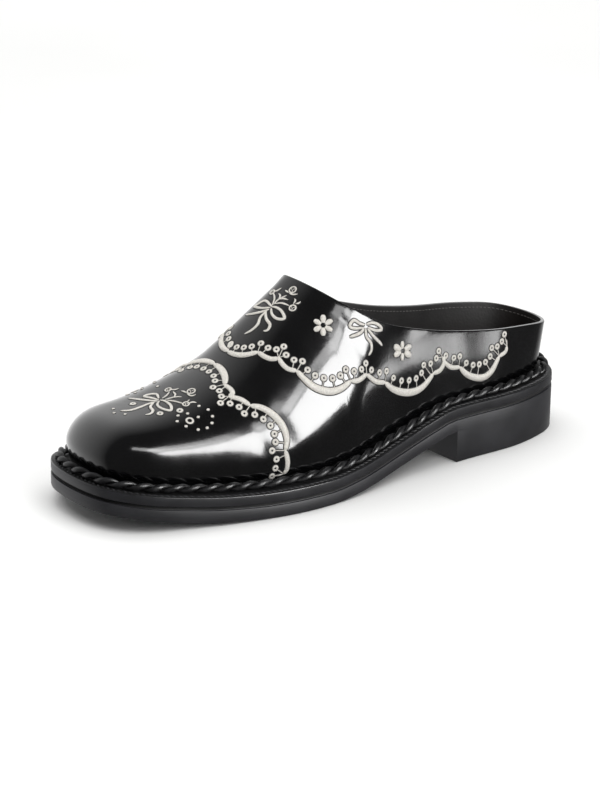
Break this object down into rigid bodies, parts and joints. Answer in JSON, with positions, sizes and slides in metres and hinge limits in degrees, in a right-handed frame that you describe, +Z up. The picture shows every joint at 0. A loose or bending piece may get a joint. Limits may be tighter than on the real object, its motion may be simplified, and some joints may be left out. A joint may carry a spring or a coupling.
{
  "type": "babouche slipper, low-backed block-heel mule",
  "caption": "Left leather slipper, closed square toe, low closed back, open collar, twisted cord round the welt, stacked sole with arch and toe spring, low block heel.",
  "frame": {"origin": "on the floor under the middle of the shoe's bounding box", "axes": "+Z up; -Y from the heel to the toe; +X to the outer side of the left foot"},
  "size_m": [0.1014, 0.282, 0.0958],
  "materials": {
    "upper_leather": "polished black calf leather",
    "insole_leather": "matt dark lining leather",
    "welt_leather": "waxed black leather strip",
    "braid_leather": "waxed black twisted cord",
    "midsole_leather": "dressed black edge",
    "sole_rubber": "satin black-grey rubber",
    "heel_rubber": "satin black-grey rubber",
    "embroidery_thread": "satin-stitched white thread"
  },
  "bodies": {
    "root": {"upper": "upper_leather", "insole": "insole_leather", "welt": "welt_leather", "welt_braid": "braid_leather", "midsole": "midsole_leather", "outsole": "sole_rubber", "heel": "heel_rubber"}
  },
  "joints": []
}
